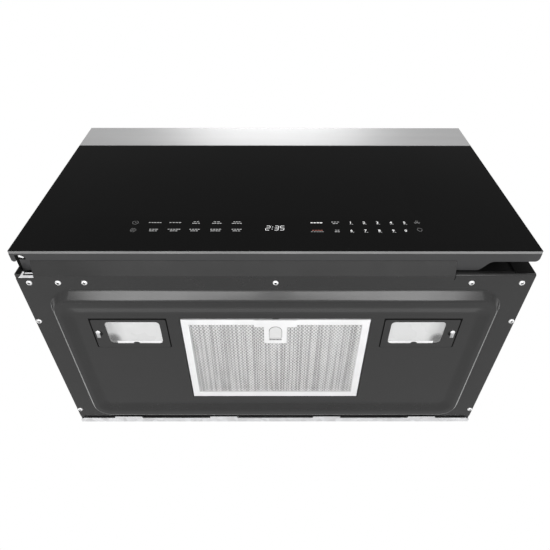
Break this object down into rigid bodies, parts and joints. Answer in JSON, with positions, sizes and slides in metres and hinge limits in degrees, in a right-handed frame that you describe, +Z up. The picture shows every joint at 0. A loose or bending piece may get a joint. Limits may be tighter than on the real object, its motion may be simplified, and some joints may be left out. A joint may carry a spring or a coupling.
{
  "type": "over the range microwave",
  "caption": "Over the range microwave: full width black glass door with touch controls, steel strip above, and a pressed bottom plate with a grease filter and lamps.",
  "frame": {"origin": "under the middle of the casing, level with the lowest bead of the bottom plate", "axes": "+X to the right seen from the front, +Y back to the wall, +Z up"},
  "size_m": [0.759, 0.416, 0.43],
  "materials": {
    "casing_paint": "satin black paint",
    "bottom_paint": "satin black paint",
    "front_paint": "black enamel",
    "oven_enamel": "grey enamel",
    "stainless_steel": "brushed along its length",
    "galvanised_steel": "zinc coated",
    "screw_steel": "zinc plated",
    "bright_aluminium": "satin",
    "filter_aluminium": "expanded mesh",
    "black_glass": "polished, printed black at the back",
    "clear_glass": "clear",
    "frosted_lens": "frosted",
    "bulb_glass": "opal",
    "reflector": "bright",
    "door_plastic": "fine grain",
    "black_plastic": "matt",
    "white_plastic": "matt",
    "board_green": "solder mask",
    "core_iron": "varnished laminations",
    "charcoal": "granules in a grid",
    "mica": "mica sheet",
    "rubber_black": "moulded"
  },
  "bodies": {
    "casing": {"outer_wrapper": "casing_paint", "rear_panel": "galvanised_steel", "bottom_plate": "bottom_paint", "bottom_screws": "screw_steel", "front_frame": "front_paint", "oven_cavity": "oven_enamel", "waveguide": "galvanised_steel", "waveguide_cover": "mica", "magnetron": "bright_aluminium", "high_voltage_transformer": "core_iron", "high_voltage_capacitor": "bright_aluminium", "cooling_fan_housing": "galvanised_steel", "cooling_fan_motor": "core_iron", "blower_housing": "galvanised_steel", "blower_motor": "core_iron", "turntable_motor": "galvanised_steel", "interlock_bracket": "white_plastic", "interlock_switches": "black_plastic", "power_board": "board_green", "line_filter_board": "board_green", "top_trim": "stainless_steel", "vent_louvre": "black_plastic", "charcoal_filter": "charcoal", "air_riser": "galvanised_steel", "filter_plenum": "galvanised_steel", "lamp_cover_left": "bottom_paint", "lamp_cover_right": "bottom_paint", "lamp_lens_left": "frosted_lens", "lamp_lens_right": "frosted_lens", "lamp_bulb_left": "bulb_glass", "lamp_bulb_right": "bulb_glass", "lamp_housing_left": "reflector", "lamp_housing_right": "reflector", "lamp_screws": "screw_steel", "hinge_bracket_bottom": "galvanised_steel", "hinge_bracket_top": "galvanised_steel", "cord_grommet": "rubber_black"},
    "cooling_fan": {"cooling_fan_wheel": "white_plastic"},
    "blower": {"blower_shaft": "screw_steel", "blower_wheel_left": "white_plastic", "blower_wheel_right": "white_plastic"},
    "coupler": {"drive_coupler": "white_plastic"},
    "tray": {"glass_tray": "clear_glass"},
    "ring": {"roller_ring": "white_plastic"},
    "first_roller": {"roller_1": "white_plastic"},
    "second_roller": {"roller_2": "white_plastic"},
    "third_roller": {"roller_3": "white_plastic"},
    "grease_filter": {"filter_frame": "bright_aluminium", "filter_mesh": "filter_aluminium", "filter_latch_plate": "bright_aluminium"},
    "filter_tab": {"filter_latch_tab": "bright_aluminium"},
    "door": {"door_glass": "black_glass", "door_frame": "door_plastic", "door_inner_panel": "oven_enamel", "choke_cover": "black_plastic", "door_bushes": "white_plastic", "touch_board": "board_green", "display_module": "black_plastic", "latch_spring": "screw_steel"},
    "hooks": {"latch_hooks": "black_plastic"}
  },
  "joints": [
    {"name": "door_swing", "type": "hinge", "parent": "casing", "child": "door", "pos_m": [-0.365, -0.197, 0.183], "axis": [0, 0, -1], "range_deg": [0, 100]},
    {"name": "hook_lift", "type": "slide", "parent": "door", "child": "hooks", "axis": [0, 0, 1], "range_m": [0, 0.004], "stiffness_N_per_m": 250, "springref_m": -0.002, "deforming": ["latch_spring"]},
    {"name": "filter_swing", "type": "hinge", "parent": "casing", "child": "grease_filter", "pos_m": [0, 0.12295, 0.0079], "axis": [1, 0, 0], "range_deg": [0, 45]},
    {"name": "filter_tab_slide", "type": "slide", "parent": "grease_filter", "child": "filter_tab", "axis": [0, 1, 0], "range_m": [0, 0.005], "stiffness_N_per_m": 250, "springref_m": -0.001},
    {"name": "turntable_spin", "type": "hinge", "parent": "casing", "child": "coupler", "pos_m": [-0.065, 0.00385, 0.09], "axis": [0, 0, 1], "continuous": true},
    {"name": "tray_lift", "type": "slide", "parent": "coupler", "child": "tray", "axis": [0, 0, 1], "range_m": [0, 0.04]},
    {"name": "roller_ring_spin", "type": "hinge", "parent": "casing", "child": "ring", "pos_m": [-0.065, 0.00385, 0.1003], "axis": [0, 0, 1], "continuous": true},
    {"name": "roller_1_spin", "type": "hinge", "parent": "ring", "child": "first_roller", "pos_m": [-0.065, 0.00385, 0.1003], "axis": [1, 0, 0], "continuous": true},
    {"name": "roller_2_spin", "type": "hinge", "parent": "ring", "child": "second_roller", "pos_m": [-0.065, 0.00385, 0.1003], "axis": [-0.5, 0.866, 0], "continuous": true},
    {"name": "roller_3_spin", "type": "hinge", "parent": "ring", "child": "third_roller", "pos_m": [-0.065, 0.00385, 0.1003], "axis": [-0.5, -0.866, 0], "continuous": true},
    {"name": "blower_spin", "type": "hinge", "parent": "casing", "child": "blower", "pos_m": [0, 0.142, 0.375], "axis": [1, 0, 0], "continuous": true},
    {"name": "cooling_fan_spin", "type": "hinge", "parent": "casing", "child": "cooling_fan", "pos_m": [0.287, 0.134, 0.206], "axis": [0, 1, 0], "continuous": true}
  ],
  "couplings": [
    {"joint": "turntable_spin", "follows": "roller_ring_spin", "ratio": 2},
    {"joint": "roller_1_spin", "follows": "roller_ring_spin", "ratio": -13.875},
    {"joint": "roller_2_spin", "follows": "roller_ring_spin", "ratio": -13.875},
    {"joint": "roller_3_spin", "follows": "roller_ring_spin", "ratio": -13.875}
  ]
}
